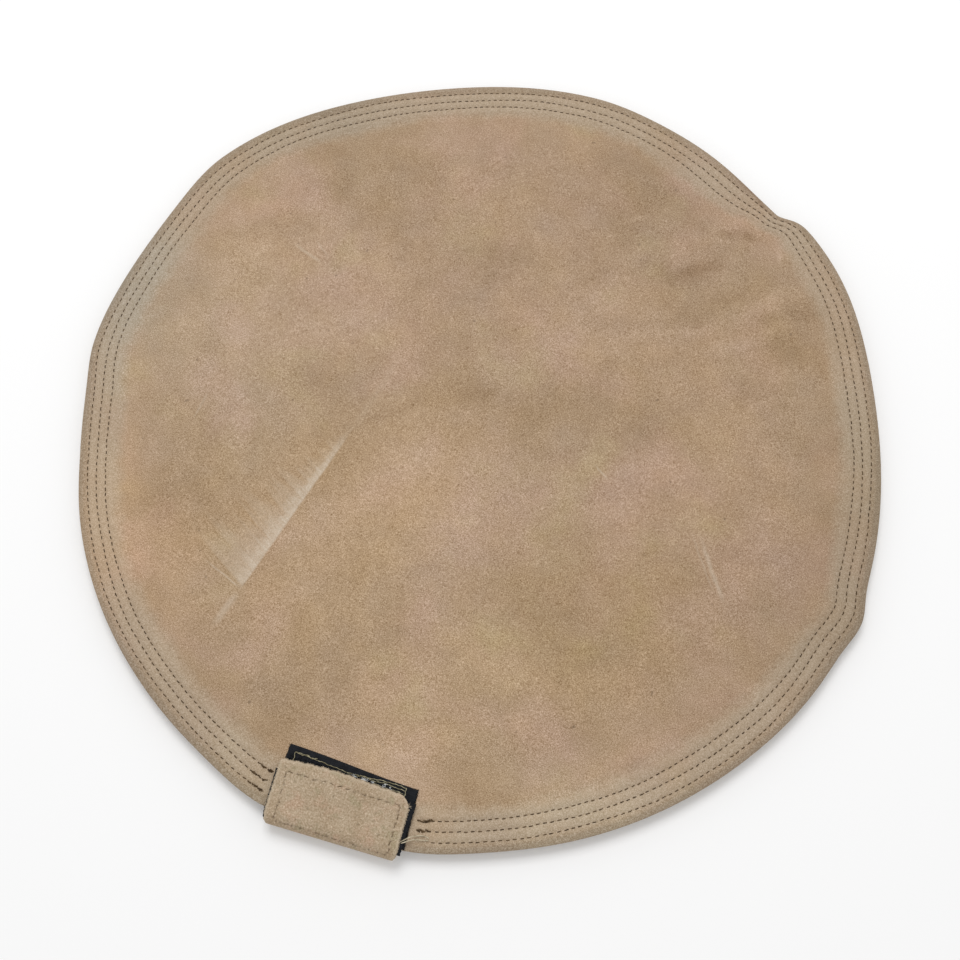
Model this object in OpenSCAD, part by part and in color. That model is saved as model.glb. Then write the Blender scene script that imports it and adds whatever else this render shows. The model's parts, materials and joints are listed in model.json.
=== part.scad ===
// Round suede leather pad shell with a hook-and-loop filling mouth.
// Two discs of suede are sewn inside out, turned, and top-stitched three times round the rim.
// The stitching stops at a mouth on the -Y side, where a leather flap folds over the rim.
// Millimetres. +Z up, origin in the middle of the flat underside.

/* [Shell] */
// Outside diameter of the sewn discs
shell_d = 457.2; // [430:0.1:510]
// Thickness of one layer of suede
leather_t = 2.2; // [2.2:0.1:2.4]
// Rise of the front panel's middle above its rim
crown_h = 8; // [6:0.5:12]
// Width of the rim band, where the panel edges are turned in
band_w = 20; // [18:0.5:24]
// Width of the flat margin outside the front panel's crown
margin_w = 45; // [42:1:60]

/* [Stitching] */
// Distance of the outer row from the rim
row_outer = 5.5; // [4.5:0.5:6.5]
// Distance of the middle row from the rim
row_middle = 10.5; // [9:0.5:11.5]
// Distance of the inner row from the rim
row_inner = 15.5; // [14:0.5:16.5]
// Diameter of the heavy sewing thread
thread_d = 0.8; // [0.6:0.1:1]

/* [Mouth] */
// Width of the unsewn mouth along the rim
mouth_w = 85; // [80:1:94]

/* [Flap] */
// Width of the flap
flap_w = 68.4; // [62:0.2:70]
// Length of the flap from its fold to its free edge
flap_l = 32; // [30:0.5:38]
// Sideways offset of the flap from the middle of the mouth
flap_x = 0.6; // [-2:0.1:2]
// Turn of the flap out of line with the mouth, in degrees
flap_skew = 3.2; // [0:0.2:4]
// Reach of the fold beyond the rim
fold_reach = 5.5; // [5:0.5:8]
// Length of the flap's root inside the mouth
root_l = 22; // [18:1:24]
// Thickness that the back lip is skived to under the root
skived_t = 1; // [0.8:0.1:1]

/* [Hook and loop] */
// Length of the loop tape on the face
loop_l = 70; // [66:1:72]
// Depth of the loop tape on the face
loop_w = 30; // [25:0.5:31]
// How far the loop tape's right-hand cut runs out of square
loop_cut = 3; // [0:0.5:3]
// Thickness of the loop tape
loop_t = 1.4; // [1.2:0.1:1.6]
// Length of the hook tape under the flap
hook_l = 72; // [66:1:73]
// Depth of the hook tape under the flap
hook_w = 25; // [22:0.5:26]
// Thickness of the hook tape
hook_t = 1; // [0.9:0.1:1.2]
// Gap left between the two tapes
tape_gap = 0.3; // [0.3:0.1:0.5]

/* [Hidden] */
$fn = 120;

rim_r = shell_d / 2;
crown_r = rim_r - margin_w;
band_r = rim_r - band_w;
mouth_a = asin(mouth_w / 2 / rim_r);

// Levels of the layers in the rim band, from the underside up
back_top = leather_t;
seam_z = 2 * leather_t;
lip_z = 3 * leather_t;
face_z = 4 * leather_t;

// Stitch channels pressed into the leather
channel_w = thread_d + 0.2;
channel_depth = thread_d + 0.1;

// The flap, closed: its tapes lie on the face and its leather lies on the hook tape
hook_z = face_z + loop_t + tape_gap;
flap_z = hook_z + hook_t;
flap_top = flap_z + leather_t;
fold_y = -rim_r - fold_reach;
part_gap = 0.3;

// Places of the two tapes and their stitching. The flap's own shapes are drawn about the
// middle of its fold: x along the fold, y towards the free edge.
hook_overhang = 2.5;
hook_y = 3.5;
loop_x = 0.3;
loop_y = -rim_r + loop_w / 2 + 2;
tape_seam_inset = 4.2;
tape_seam_w = 0.8;
tape_seam_depth = 0.5;
flap_seam_low = [-flap_w / 2 + 5.6, 7];
flap_seam_high = [flap_w / 2 - 3.8, flap_l - 5];

suede = "#b59a7b";
suede_inside = "#a58a6c";
flap_suede = "#ab9676";
stitch_brown = "#5b4431";
stitch_khaki = "#a89c78";
tape_black = "#1b1d22";

// Height of the crown above the rim at a distance r from the middle
function crown(r) = r < crown_r ? crown_h * (1 + cos(180 * r / crown_r)) / 2 : 0;

// Half-round turned edge of a panel, from its lower to its upper side, middle height z.
// Its outermost facet stands upright at the rim's full radius.
function turned_edge(z) = [
    for (a = [-90:20:90])
        [rim_r - leather_t + leather_t * min(1, cos(a) / cos(10)), z + leather_t * sin(a)]
];

// Everything in the ring from r_in to r_out and z_low to z_high, except at the mouth
module sewn_ring(r_in, r_out, z_low, z_high) {
    rotate([0, 0, -90 + mouth_a])
    rotate_extrude(angle = 360 - 2 * mouth_a)
    translate([r_in, z_low])
    square([r_out - r_in, z_high - z_low]);
}

// The sector of that ring that lies in the mouth
module mouth_sector(r_in, r_out, z_low, z_high) {
    rotate([0, 0, -90 - mouth_a])
    rotate_extrude(angle = 2 * mouth_a)
    translate([r_in, z_low])
    square([r_out - r_in, z_high - z_low]);
}

// A ring of thread at distance inset from the rim, open at the mouth
module thread_ring(inset, z, d) {
    rotate([0, 0, -90 + mouth_a])
    rotate_extrude(angle = 360 - 2 * mouth_a)
    translate([rim_r - inset, z])
    circle(d = d, $fn = 16);
}

module stitch_channel(inset, z_low) {
    sewn_ring(rim_r - inset - channel_w / 2, rim_r - inset + channel_w / 2, z_low, z_low + channel_depth + 1);
}

// Upper disc: crowned middle, flat margin, and a rim band doubled by the turned-in edge
module front_panel() {
    steps = 16;
    under = [for (i = [0:steps]) [crown_r * i / steps, lip_z + crown(crown_r * i / steps)]];
    upper = [for (i = [steps:-1:0]) [crown_r * i / steps, face_z + crown(crown_r * i / steps)]];
    color(suede)
    difference() {
        rotate_extrude()
        polygon(concat(under, [[band_r, lip_z], [band_r, seam_z]], turned_edge(lip_z), upper));
        mouth_sector(band_r - 1, rim_r + 1, seam_z - 1, lip_z);
        for (inset = [row_outer, row_middle, row_inner])
            stitch_channel(inset, face_z - channel_depth);
    }
}

// Lower disc: flat, with the same turned-in edge, skived thin where the flap's root is let in
module back_panel() {
    color(suede_inside)
    difference() {
        rotate_extrude()
        polygon(concat([[0, 0]], turned_edge(back_top), [[band_r, seam_z], [band_r, back_top], [0, back_top]]));
        mouth_sector(band_r - 1, rim_r + 1, back_top, seam_z + 1);
        for (inset = [row_outer, row_middle, row_inner])
            stitch_channel(inset, -1);
        in_flap_line()
        translate([-flap_w / 2, 0, skived_t])
        cube([flap_w, fold_reach + root_l, leather_t]);
    }
}

// The closing seam, seen in the valley between the two turned edges
module rim_seam_thread() {
    color(stitch_brown)
    thread_ring(0.7, seam_z, thread_d);
}

module needle_thread(inset) {
    color(stitch_brown)
    thread_ring(inset, face_z - thread_d / 2, thread_d);
}

module bobbin_thread(inset) {
    color(stitch_brown)
    thread_ring(inset, thread_d / 2 + 0.05, thread_d);
}

// Turns a shape drawn about the middle of the fold into the flap's line
module in_flap_line() {
    translate([flap_x, fold_y, 0])
    rotate([0, 0, flap_skew])
    children();
}

// Two rows of stitches across the root
module root_seams(w, z, h) {
    for (y = [fold_reach + 6, fold_reach + root_l - 5])
        translate([-flap_w / 2 + 4, y - w / 2, z])
        cube([flap_w - 8, w, h]);
}

// The flap's root: skived thin inside the mouth, full thickness between rim and fold
module flap_root() {
    color(flap_suede)
    difference() {
        in_flap_line()
        translate([-flap_w / 2, 0, 0])
        cube([flap_w, fold_reach + root_l, leather_t]);
        translate([0, 0, -1])
        cylinder(r = rim_r + part_gap, h = 1 + skived_t);
        in_flap_line()
        root_seams(tape_seam_w + 0.2, leather_t - tape_seam_depth, 1);
    }
}

module flap_root_thread() {
    color(stitch_brown)
    in_flap_line()
    root_seams(tape_seam_w, leather_t - tape_seam_depth, tape_seam_depth);
}

// The strip that wraps the rim, standing on edge when the flap is closed
module flap_fold() {
    color(flap_suede)
    in_flap_line()
    translate([-flap_w / 2, 0, leather_t + part_gap])
    cube([flap_w, leather_t, flap_z - leather_t - 2 * part_gap]);
}

// Outline of the flap, with its two free corners rounded by radius r
module flap_outline(r) {
    translate([-flap_w / 2, 0]) {
        square([flap_w, flap_l - r]);
        translate([r, 0])
        square([flap_w - 2 * r, flap_l]);
        for (x = [r, flap_w - r])
            translate([x, flap_l - r])
            circle(r = r, $fn = 32);
    }
}

// A rectangular line of stitches: w wide, inside the corners low and high
module seam_frame(low, high, w, z, h) {
    size = high - low;
    translate([low[0], low[1], z])
    difference() {
        cube([size[0], size[1], h]);
        translate([w, w, -1])
        cube([size[0] - 2 * w, size[1] - 2 * w, h + 2]);
    }
}

// The same, or its channel when grow is more than 0
module flap_seam(grow, z, h) {
    more = [grow, grow];
    seam_frame(flap_seam_low - more, flap_seam_high + more, tape_seam_w + 2 * grow, z, h);
}

module closure_flap() {
    corner_r = 4;
    color(flap_suede)
    in_flap_line()
    difference() {
        translate([0, 0, flap_z])
        linear_extrude(leather_t)
        flap_outline(corner_r);
        flap_seam(0.1, flap_top - tape_seam_depth, 2);
    }
}

module flap_hook_tape() {
    color(tape_black)
    in_flap_line()
    translate([flap_w / 2 + hook_overhang - hook_l, hook_y, hook_z])
    cube([hook_l, hook_w, hook_t]);
}

module flap_hook_tape_thread() {
    color(stitch_brown)
    in_flap_line()
    flap_seam(0, flap_top - tape_seam_depth, tape_seam_depth);
}

// Places a loop-tape shape drawn about its own middle onto the face
module on_face() {
    translate([loop_x, loop_y, face_z])
    children();
}

module loop_seam(grow, z, h) {
    half = [loop_l / 2 - tape_seam_inset, loop_w / 2 - tape_seam_inset];
    more = [grow, grow];
    seam_frame(-half - more, half + more, tape_seam_w + 2 * grow, z, h);
}

module face_loop_tape() {
    half = [loop_l, loop_w] / 2;
    color(tape_black)
    on_face()
    difference() {
        linear_extrude(loop_t)
        polygon([-half, [half[0] + loop_cut, -half[1]], half, [-half[0], half[1]]]);
        loop_seam(0.1, loop_t - tape_seam_depth, 2);
    }
}

module face_loop_tape_thread() {
    color(stitch_khaki)
    on_face()
    loop_seam(0, loop_t - tape_seam_depth, tape_seam_depth);
}

// A straight length of thread between two points
module strand(from, to, d) {
    run = to - from;
    translate(from)
    rotate([0, acos(run[2] / norm(run)), atan2(run[1], run[0])])
    cylinder(d = d, h = norm(run), $fn = 16);
}

// Two cut ends of the outer row's thread, rising over the edge of the loop tape
module thread_tails() {
    start_z = face_z + thread_d / 2 + 0.1;
    end_z = face_z + loop_t + 1.2;
    color(stitch_khaki) {
        strand([47, -218, start_z], [37.8, -222, end_z], thread_d);
        strand([47.4, -216.2, start_z], [38.4, -219.2, end_z], thread_d);
    }
}

front_panel();
back_panel();
rim_seam_thread();
needle_thread(row_outer);  // outer_row_needle_thread
needle_thread(row_middle);  // middle_row_needle_thread
needle_thread(row_inner);  // inner_row_needle_thread
bobbin_thread(row_outer);  // outer_row_bobbin_thread
bobbin_thread(row_middle);  // middle_row_bobbin_thread
bobbin_thread(row_inner);  // inner_row_bobbin_thread
flap_root();
flap_root_thread();
flap_fold();
closure_flap();
flap_hook_tape();
flap_hook_tape_thread();
face_loop_tape();
face_loop_tape_thread();
thread_tails();
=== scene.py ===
"""A round suede pad shell with a hook-and-loop closure flap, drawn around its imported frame.

Lengths are in millimetres until a mesh is made. The axes are the frame's: +Z up, and the filling
mouth with its flap on the -Y side. Angles round the pad are in degrees, from +X towards +Y.
"""

import json
import math

import bmesh
import bpy
import numpy as np
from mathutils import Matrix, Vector


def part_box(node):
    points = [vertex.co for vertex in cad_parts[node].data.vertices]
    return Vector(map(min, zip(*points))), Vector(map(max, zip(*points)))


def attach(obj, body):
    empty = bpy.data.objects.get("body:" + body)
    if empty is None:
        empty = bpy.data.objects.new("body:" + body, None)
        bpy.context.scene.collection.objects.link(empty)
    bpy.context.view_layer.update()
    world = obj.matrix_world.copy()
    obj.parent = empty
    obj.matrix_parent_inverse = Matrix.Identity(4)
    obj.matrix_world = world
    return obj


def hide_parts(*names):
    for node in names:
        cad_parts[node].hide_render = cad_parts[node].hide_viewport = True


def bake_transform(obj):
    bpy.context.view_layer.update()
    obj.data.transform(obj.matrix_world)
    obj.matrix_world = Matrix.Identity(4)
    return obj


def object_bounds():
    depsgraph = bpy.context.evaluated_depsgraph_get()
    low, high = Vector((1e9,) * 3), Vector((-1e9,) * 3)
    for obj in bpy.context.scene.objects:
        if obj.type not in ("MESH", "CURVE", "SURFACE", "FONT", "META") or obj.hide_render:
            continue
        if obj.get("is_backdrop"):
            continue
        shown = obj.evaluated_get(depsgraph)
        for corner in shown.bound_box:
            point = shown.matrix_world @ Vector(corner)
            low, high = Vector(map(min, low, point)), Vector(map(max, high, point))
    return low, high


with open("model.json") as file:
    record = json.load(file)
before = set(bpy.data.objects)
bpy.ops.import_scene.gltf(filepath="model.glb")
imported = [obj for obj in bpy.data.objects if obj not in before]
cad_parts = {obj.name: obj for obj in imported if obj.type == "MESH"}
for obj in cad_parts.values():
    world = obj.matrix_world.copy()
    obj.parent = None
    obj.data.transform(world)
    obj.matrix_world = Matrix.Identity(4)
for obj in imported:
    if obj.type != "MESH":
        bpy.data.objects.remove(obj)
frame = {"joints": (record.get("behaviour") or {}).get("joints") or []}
cad_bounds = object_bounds()

MM = 1000.0  # millimetres in a metre


def box_mm(node):
    """Lowest and highest corner of a CAD node, in millimetres."""
    low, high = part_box(node)
    return np.array(low) * MM, np.array(high) * MM


# ---------------------------------------------------------------- sizes taken from the frame
RIM_R = box_mm("front_panel")[1][0]
LEATHER = box_mm("back_panel")[1][2] / 2
LIP_Z = 3 * LEATHER
FACE_Z = 4 * LEATHER
CROWN_H = box_mm("front_panel")[1][2] - FACE_Z
THREAD = np.ptp(box_mm("outer_row_needle_thread"), axis=0)[2]

joints = {joint["name"]: joint for joint in frame["joints"]}
FOLD_AT = np.array(joints["fold_bend"]["pos_m"]) * MM
FLAP_TOP = joints["flap_bend"]["pos_m"][2] * MM
SKEW = math.atan2(joints["fold_bend"]["axis"][1], joints["fold_bend"]["axis"][0])

LOOP_LOW, LOOP_HIGH = box_mm("face_loop_tape")
HOOK_LOW_Z, HOOK_HIGH_Z = box_mm("flap_hook_tape")[0][2], box_mm("flap_hook_tape")[1][2]

# ---------------------------------------------------------------- sizes of the soft shapes
MOUTH_AT = 270.0
MOUTH_HALF = 10.7
MARGIN_W = 45.0
CROWN_R = RIM_R - MARGIN_W
ALLOWANCE_W = 20.0
ROWS = {"outer": 5.5, "middle": 10.5, "inner": 15.5}
ROW_START = {"outer": 0.0, "middle": 0.37, "inner": 0.71}  # in stitches
STITCHES = 372  # in a full turn of any row
GROOVE = 0.34
GROOVE_HALF_W = 0.75
SKIVED = 1.0
EDGE_ROUND_R = 0.8
FLAP_HALF_W = 34.2
FLAP_L = 32.0
ROOT_END = 27.5
BEND_R = 6.8
FOLD_BULGE = 1.2
FINE_RING, WIDE_RING, INNER_RING, CORE_RING = 1860, 620, 310, 155  # points in a ring
SPAN = np.linspace(-1, 1, 7)  # places along a stitch, from one end to the other

# Places where the hand-sewn rim leaves a true circle: angle, height, and how many degrees each
# fades over before and after that angle
RIM_BUMPS = (
    (44.5, 7.0, 11.6, 13.5),  # shoulder before the notch
    (56.2, -7.9, 1.8, 8.7),  # notch
    (90.6, 4.1, 7.3, 15.9),
    (150.6, 6.8, 15.9, 6.8),  # soft corner
    (186.0, 2.7, 7.2, 3.8),
    (202.8, -1.4, 7.9, 4.8),
    (240.9, -2.1, 11.7, 15.3),
    (260.0, 3.0, 5.0, 4.0),  # left of the flap
    (281.0, 2.0, 4.0, 5.0),  # right of the flap
    (324.0, -2.3, 15.1, 10.8),
    (350.3, 3.7, 2.8, 2.3),  # sharp corner
)
# The rim is drawn in a little by its stitches, sits off to the flap's side, and is slightly
# square and slightly oval: how much, and towards which angle
DRAWN_IN = 2.2
OFFSET, OFFSET_AT = 3.2, 284.0
SQUARENESS, SQUARE_AT = 2.15, 22.0
OVAL, OVAL_AT = 0.45, 132.0

# Soft ridges and valleys that run in from the notch: start, end, height, half width
RIDGES = (
    ((28, 74), (152, 134), 1.5, 6.5),
    ((78, 66), (158, 120), 1.2, 5.5),
    ((18, 106), (116, 166), 1.5, 7.0),
    ((60, 104), (120, 172), -1.5, 6.0),
    ((104, 56), (176, 92), 0.8, 6.0),
    ((-30, 150), (60, 178), 0.6, 8.0),
    ((137, 163), (141, 146), 0.6, 2.6),
    ((-160, 20), (-120, -70), 0.5, 9.0),
    ((-64, -25), (-20, 8), -0.35, 4.0),
)

# The old fold line: where it starts, its direction, and its length
CREASE_AT = (-90.0, -128.0)
CREASE_TURN = 76.0
CREASE_L = 100.0


# ---------------------------------------------------------------- curves
def bump(angle, centre, height, before, after):
    """A rise at an angle that fades over before degrees on one side and after on the other."""
    off = (np.asarray(angle) - centre + 180) % 360 - 180
    return height * np.exp(-0.5 * (off / np.where(off < 0, before, after)) ** 2)


def hill(value, centre, width):
    return np.exp(-(((value - centre) / width) ** 2))


def ease(value, low, high):
    """0 up to low, 1 from high on, and a smooth step between."""
    t = np.clip((value - low) / (high - low), 0, 1)
    return t * t * (3 - 2 * t)


def soft_noise(x, y, wavelength, seed, waves=14):
    """A smooth random field with a standard deviation of 1."""
    draw = np.random.default_rng(seed)
    total = 0
    for _ in range(waves):
        turn, phase = draw.uniform(0, 2 * math.pi, 2)
        k = 2 * math.pi / wavelength * draw.uniform(0.7, 1.4)
        total = total + np.sin(k * (x * math.cos(turn) + y * math.sin(turn)) + phase)
    return total / math.sqrt(waves / 2)


def rim_radius(angle):
    r = RIM_R - DRAWN_IN + OFFSET * np.cos(np.radians(angle - OFFSET_AT))
    r = r - SQUARENESS * np.cos(np.radians(4 * (angle - SQUARE_AT)))
    r = r + OVAL * np.cos(np.radians(2 * (angle - OVAL_AT)))
    for feature in RIM_BUMPS:
        r = r + bump(angle, *feature)
    return r


def band_scale(angle):
    """How much wider than usual the stitched band lies, seen from above."""
    scale = 1 + bump(angle, 325, 0.14, 22, 16) + bump(angle, 67, 0.16, 5, 11)
    return scale - bump(angle, 56.5, 0.33, 4.5, 3)


def shared_wander(angle):
    a = np.radians(angle)
    return 0.40 * np.sin(3 * a + 1.0) + 0.25 * np.sin(7 * a + 2.2) + 0.18 * np.sin(17 * a)


def row_inset(row, angle):
    """Where a row of stitches lies in the band, with the small wander of hand guiding."""
    a, inset = np.radians(angle), ROWS[row]
    return inset + 0.16 * np.sin(11 * a + inset) + 0.10 * np.sin(23 * a + 2 * inset)


def mouth_window(angle):
    """1 in the unsewn mouth and 0 in the sewn rim."""
    off = np.abs((np.asarray(angle) - MOUTH_AT + 180) % 360 - 180)
    return 1 - ease(off, MOUTH_HALF - 0.5, MOUTH_HALF + 0.4)


def place(inset, angle):
    """x and y of a point that lies inset from the rim, measured on a true disc."""
    rim, scale = rim_radius(angle), band_scale(angle)
    inset = np.asarray(inset, float) + 0 * angle
    drift = shared_wander(angle) * ease(inset, 0, 3) * (1 - ease(inset, 22, MARGIN_W))
    margin = rim - scale * np.minimum(inset, MARGIN_W) - drift
    inner = (RIM_R - inset) / CROWN_R * (rim - scale * MARGIN_W)
    r = np.where(inset <= MARGIN_W, margin, inner)
    a = np.radians(angle)
    return r * np.cos(a), r * np.sin(a)


def stitch_phase(row, angle):
    """Turns from the middle of the nearest stitch of a row."""
    return np.asarray(angle) * STITCHES / 360 - ROW_START[row]


def to_line(x, y, start, end):
    """Distance from the line through start and end, and the share of the way along it."""
    run = np.subtract(end, start)
    length = math.hypot(*run)
    ux, uy = run / length
    along = ((x - start[0]) * ux + (y - start[1]) * uy) / length
    return (y - start[1]) * ux - (x - start[0]) * uy, along


def ridge(x, y, start, end, height, width):
    across, along = to_line(x, y, start, end)
    return height * hill(across, 0, width) * ease(along, -0.15, 0.25) * (1 - ease(along, 0.75, 1.15))


def crease_rise(x, y):
    """The old fold stands up as a low roof, steep on its right side and gentle on its left."""
    turn = math.radians(CREASE_TURN)
    end = (CREASE_AT[0] + CREASE_L * math.cos(turn), CREASE_AT[1] + CREASE_L * math.sin(turn))
    across, along = to_line(x, y, CREASE_AT, end)
    roof = np.where(across > 0, np.exp(-np.abs(across) / 9.0), np.exp(-np.abs(across) / 3.2))
    return 0.9 * roof * ease(along, -0.35, 0.1) * (1 - ease(along, 0.6, 1.6))


def row_grooves(inset, angle, pucker):
    """How far the rows of thread pull the leather in, most at each needle hole."""
    depth = 0
    for row in ROWS:
        pull = GROOVE + pucker * np.cos(2 * math.pi * stitch_phase(row, angle))
        depth = depth + pull * hill(inset, row_inset(row, angle), GROOVE_HALF_W)
    return depth


def band_relief(inset, angle):
    """Leather puffs up beside the rows and is pulled in along them."""
    puffs = ((0.42, 2.9, 1.5), (0.26, 8.0, 1.3), (0.26, 13.0, 1.3), (0.30, 18.0, 1.3), (-0.40, 21.6, 1.7))
    rise = sum(height * hill(inset, centre, width) for height, centre, width in puffs)
    return (rise - row_grooves(inset, angle, 0.20)) * (1 - mouth_window(angle))


def face_height(inset, angle):
    """Height of the front panel's upper side."""
    x, y = place(inset, angle)
    r = RIM_R - inset
    crown = np.where(r < CROWN_R, CROWN_H * (1 + np.cos(math.pi * r / CROWN_R)) / 2, 0)
    waves = ((0.55, 130, 3), (0.22, 48, 4), (0.05, 15, 5))
    slack = sum(height * soft_noise(x, y, wavelength, seed) for height, wavelength, seed in waves)
    folds = sum(ridge(x, y, *r) for r in RIDGES) + crease_rise(x, y)
    rise = crown + slack * ease(inset, 34, 70) + folds * ease(inset, 17, 27)
    return FACE_Z + rise + band_relief(inset, angle)


def from_flap(u, v, z):
    """A point from the flap's own frame: u along its fold, v towards its free edge."""
    x = FOLD_AT[0] + u * math.cos(SKEW) - v * math.sin(SKEW)
    y = FOLD_AT[1] + u * math.sin(SKEW) + v * math.cos(SKEW)
    return np.stack(np.broadcast_arrays(x, y, z), -1).astype(float)


# ---------------------------------------------------------------- meshes
def new_object(name, verts_mm, faces):
    """A smooth-shaded mesh object, its normals made to point outwards."""
    mesh = bpy.data.meshes.new(name)
    mesh.from_pydata((np.asarray(verts_mm) / MM).tolist(), [], faces)
    work = bmesh.new()
    work.from_mesh(mesh)
    bmesh.ops.recalc_face_normals(work, faces=work.faces)
    work.to_mesh(mesh)
    work.free()
    mesh.polygons.foreach_set("use_smooth", np.ones(len(mesh.polygons), bool))
    obj = bpy.data.objects.new(name, mesh)
    bpy.context.scene.collection.objects.link(obj)
    return obj


def set_values(obj, name, values):
    """Stores one number for each vertex, for the materials to read."""
    attribute = obj.data.attributes.new(name, "FLOAT", "POINT")
    attribute.data.foreach_set("value", np.asarray(values, np.float32))


def finish_piece(obj, look, body, slot, *nodes):
    """Gives a piece its material and body, and hides the CAD nodes that it stands for. slot is not used.
    """
    obj.data.materials.append(materials[look])
    if body:
        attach(obj, body)
    if nodes:
        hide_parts(*nodes)
    return obj


def join_rings(a, n_a, b, n_b):
    """Faces between two closed rings, whose sizes are equal or 2 or 3 times one another."""
    if n_a < n_b:
        a, n_a, b, n_b = b, n_b, a, n_a
    k = np.arange(n_b)
    nxt = (k + 1) % n_b
    if n_a == n_b:
        return np.stack([a + k, a + nxt, b + nxt, b + k], 1).tolist()
    ratio = n_a // n_b
    fine = [a + (k * ratio + j) % n_a for j in range(ratio + 1)]
    corners = ([b + k, *fine[:2]], [b + nxt, *fine[-2:]], [b + k, *fine[1:-1], b + nxt])
    return [face for group in corners for face in np.stack(group, 1).tolist()]


def disc_mesh(name, rings, first_pole, last_pole):
    """A closed skin through rings of points, from one pole to the other."""
    sizes = [len(ring) for ring in rings]
    starts = np.cumsum([1, *sizes]).tolist()
    first, last, pole = sizes[0], sizes[-1], starts[-1]
    faces = [[0, 1 + k, 1 + (k + 1) % first] for k in range(first)]
    for i in range(len(rings) - 1):
        faces += join_rings(starts[i], sizes[i], starts[i + 1], sizes[i + 1])
    faces += [[pole, starts[-2] + (k + 1) % last, starts[-2] + k] for k in range(last)]
    return new_object(name, np.concatenate([[first_pole], *rings, [last_pole]]), faces)


def tube_verts(paths, radius, sides, lobe, twist):
    """Vertices of one tube along each path, of shape (tubes, rings, sides, 3)."""
    run = np.gradient(paths, axis=1)
    run /= np.linalg.norm(run, axis=2, keepdims=True) + 1e-12
    side = np.cross(run, [0.0, 0.0, 1.0])
    flat = np.linalg.norm(side, axis=2, keepdims=True) < 0.05
    side = np.where(flat, np.cross(run, [1.0, 0.0, 0.0]), side)
    side /= np.linalg.norm(side, axis=2, keepdims=True)
    up = np.cross(side, run)
    turn = 2 * math.pi * np.arange(sides) / sides
    ring = np.arange(paths.shape[1])[:, None]
    size = 1 + lobe * np.cos(2 * turn - twist * ring)
    size = (np.asarray(radius)[..., None] * size)[..., None]
    round_off = np.cos(turn)[:, None] * side[:, :, None] + np.sin(turn)[:, None] * up[:, :, None]
    return paths[:, :, None] + size * round_off


def tubes(name, paths, radius, sides, lobe=0.0, twist=0.0):
    """One object with a closed tube along every path. paths is (tubes, rings, 3), in millimetres.
    A two-ply twist shows where lobe is above 0."""
    paths = np.asarray(paths, float)
    n, rings, _ = paths.shape
    radius = np.broadcast_to(np.asarray(radius, float), (n, rings))
    verts = tube_verts(paths, radius, sides, lobe, twist).reshape(-1, 3)
    tube = np.arange(n)[:, None, None] * rings * sides
    ring = np.arange(rings - 1)[None, :, None] * sides
    k = np.arange(sides)[None, None, :]
    nxt = (k + 1) % sides
    base = tube + ring
    quads = np.stack([base + k, base + nxt, base + sides + nxt, base + sides + k], -1)
    faces = quads.reshape(-1, 4).tolist()
    start = np.arange(n) * rings * sides
    ends = start + (rings - 1) * sides
    faces += [list(range(s + sides - 1, s - 1, -1)) for s in start.tolist()]
    faces += [list(range(s, s + sides)) for s in ends.tolist()]
    return new_object(name, verts, faces)


def sheet_sides(rows, columns, cut_rows):
    """Vertex numbers of a sheet's two sides, which share their border except along a flat cut."""
    border = np.ones((rows, columns), bool)
    border[1:-1, 1:-1] = False
    for row in cut_rows:
        border[row, 1:-1] = False
    grid = np.arange(rows * columns).reshape(rows, columns)
    return grid, np.where(border, grid, grid + rows * columns)


def sheet_mesh(name, outer, inward, thickness, edge_off, cut_rows=()):
    """A closed sheet. outer is a grid (rows, columns, 3) of points on its outer side, inward the
    unit normals into it and edge_off each point's distance from the sheet's real edges, over
    which both sides round off. cut_rows names end rows, 0 or -1, that end in a flat cut."""
    rows, columns, _ = outer.shape
    round_r = min(EDGE_ROUND_R, thickness / 2)
    t = np.clip(1 - edge_off / round_r, 0, 1)
    lift = thickness / 2 * (1 - np.sqrt(1 - t * t))
    top = outer + inward * lift[..., None]
    under = outer + inward * (thickness - lift)[..., None]
    grid, twin = sheet_sides(rows, columns, cut_rows)
    both = np.concatenate([top.reshape(-1, 3), under.reshape(-1, 3)])
    faces = []
    for layer in (grid, twin):
        quads = np.stack([layer[:-1, :-1], layer[:-1, 1:], layer[1:, 1:], layer[1:, :-1]], -1)
        faces += quads.reshape(-1, 4).tolist()
    for row in cut_rows:
        a, b = grid[row], twin[row]
        strip = [[a[i], a[i + 1], b[i + 1], b[i]] for i in range(columns - 1)]
        faces += [list(dict.fromkeys(int(i) for i in face)) for face in strip]
    used = np.unique(np.concatenate([np.ravel(f) for f in faces]))
    renumber = np.full(len(both), -1)
    renumber[used] = np.arange(len(used))
    faces = [[int(renumber[i]) for i in face] for face in faces]
    obj = new_object(name, both[used], faces)
    if cut_rows:
        mark_cut(obj, {int(renumber[i]) for row in cut_rows for i in (*grid[row], *twin[row])})
    return obj, used % grid.size


def mark_cut(obj, members):
    """Keeps the edges round a flat cut sharp, so that the sheet's sides stay smooth up to it."""
    sharp = [all(v in members for v in edge.vertices) for edge in obj.data.edges]
    attribute = obj.data.attributes.new("sharp_edge", "BOOLEAN", "EDGE")
    attribute.data.foreach_set("value", sharp)


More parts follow.
